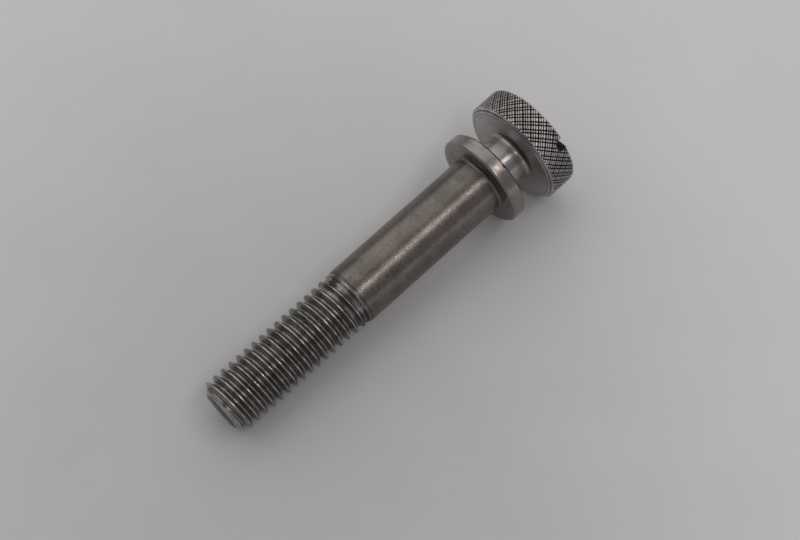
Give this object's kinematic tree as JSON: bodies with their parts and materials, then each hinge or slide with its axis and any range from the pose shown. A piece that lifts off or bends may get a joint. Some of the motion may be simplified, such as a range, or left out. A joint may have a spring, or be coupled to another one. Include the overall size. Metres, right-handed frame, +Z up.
{
  "type": "knurled cover screw",
  "caption": "Turned steel cover screw with a coarse thread, plain shank, seating flange, short neck and domed, diamond-knurled thumb head with a driver slot.",
  "frame": {"origin": "centre of the bottom of the bounding box, on the surface that the screw lies on", "axes": "+Z up; +X from the threaded tip towards the head, along the screw's length; the screw's own axis rises 4.2 degrees towards the head, as it rests on the thread and the head's rim"},
  "size_m": [0.0552, 0.015, 0.0152],
  "materials": {
    "turned_steel": "bare turned steel with fine machining rings, light pitting and dark grooves in the thread and knurl"
  },
  "bodies": {
    "root": {"screw": "turned_steel"}
  },
  "joints": []
}
